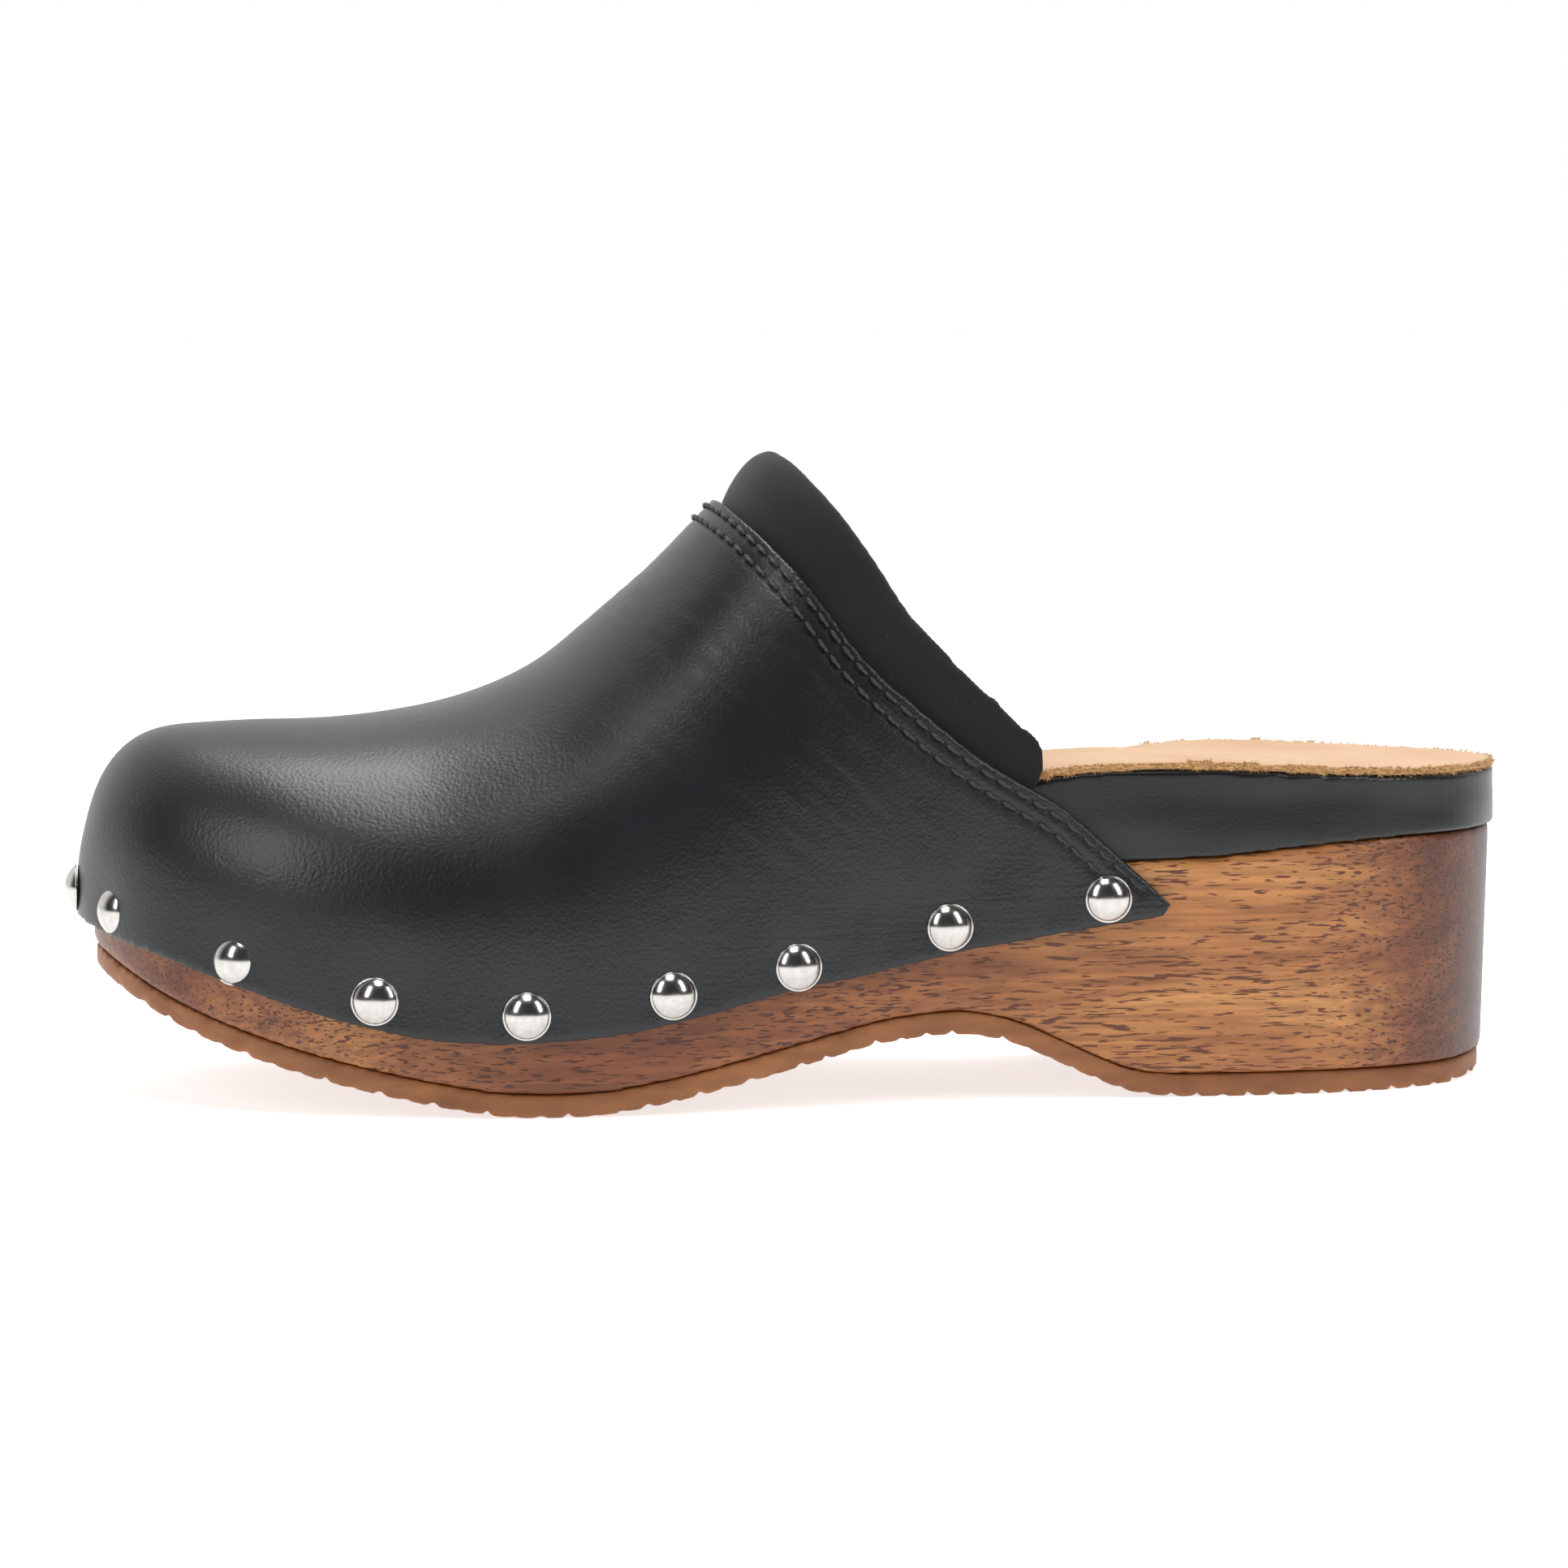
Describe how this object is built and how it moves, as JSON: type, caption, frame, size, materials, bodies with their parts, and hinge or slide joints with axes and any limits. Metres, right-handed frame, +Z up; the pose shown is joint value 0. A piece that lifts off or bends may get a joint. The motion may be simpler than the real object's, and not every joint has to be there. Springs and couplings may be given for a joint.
{
  "type": "clog",
  "caption": "Closed-toe, open-back clog: one-piece wooden sole with a rubber outsole, nailed leather upper, padded collar and cushioned footbed.",
  "frame": {"origin": "on the ground under the middle of the shoe's box", "axes": "+Z up, toe towards -X, outer side of the foot towards -Y"},
  "size_m": [0.2552, 0.0995, 0.1122],
  "materials": {
    "wood": "satin, open-grained",
    "gum_rubber": "matt",
    "upper_leather": "satin, fine pebble",
    "lining": "matt",
    "toe_puff": "matt",
    "collar_nubuck": "matt nubuck",
    "foam": "open-cell foam",
    "footbed_core": "matt",
    "footbed_wrap": "smooth",
    "sock_leather": "natural, raw edge",
    "thread": "waxed thread",
    "stud_nickel": "polished",
    "pin_steel": "drawn wire"
  },
  "bodies": {
    "root": {"wood_sole": "wood", "rubber_outsole": "gum_rubber", "upper_leather": "upper_leather", "upper_lining": "lining", "toe_puff": "toe_puff", "collar_cover": "collar_nubuck", "collar_foam": "foam", "footbed_core": "footbed_core", "footbed_cushion": "foam", "footbed_wrap": "footbed_wrap", "insole_sock": "sock_leather", "topline_stitches_upper_row": "thread", "topline_stitches_lower_row": "thread", "stud_caps_toe": "stud_nickel", "stud_caps_lateral": "stud_nickel", "stud_caps_medial": "stud_nickel", "stud_pins_toe": "pin_steel", "stud_pins_lateral": "pin_steel", "stud_pins_medial": "pin_steel"}
  },
  "joints": []
}
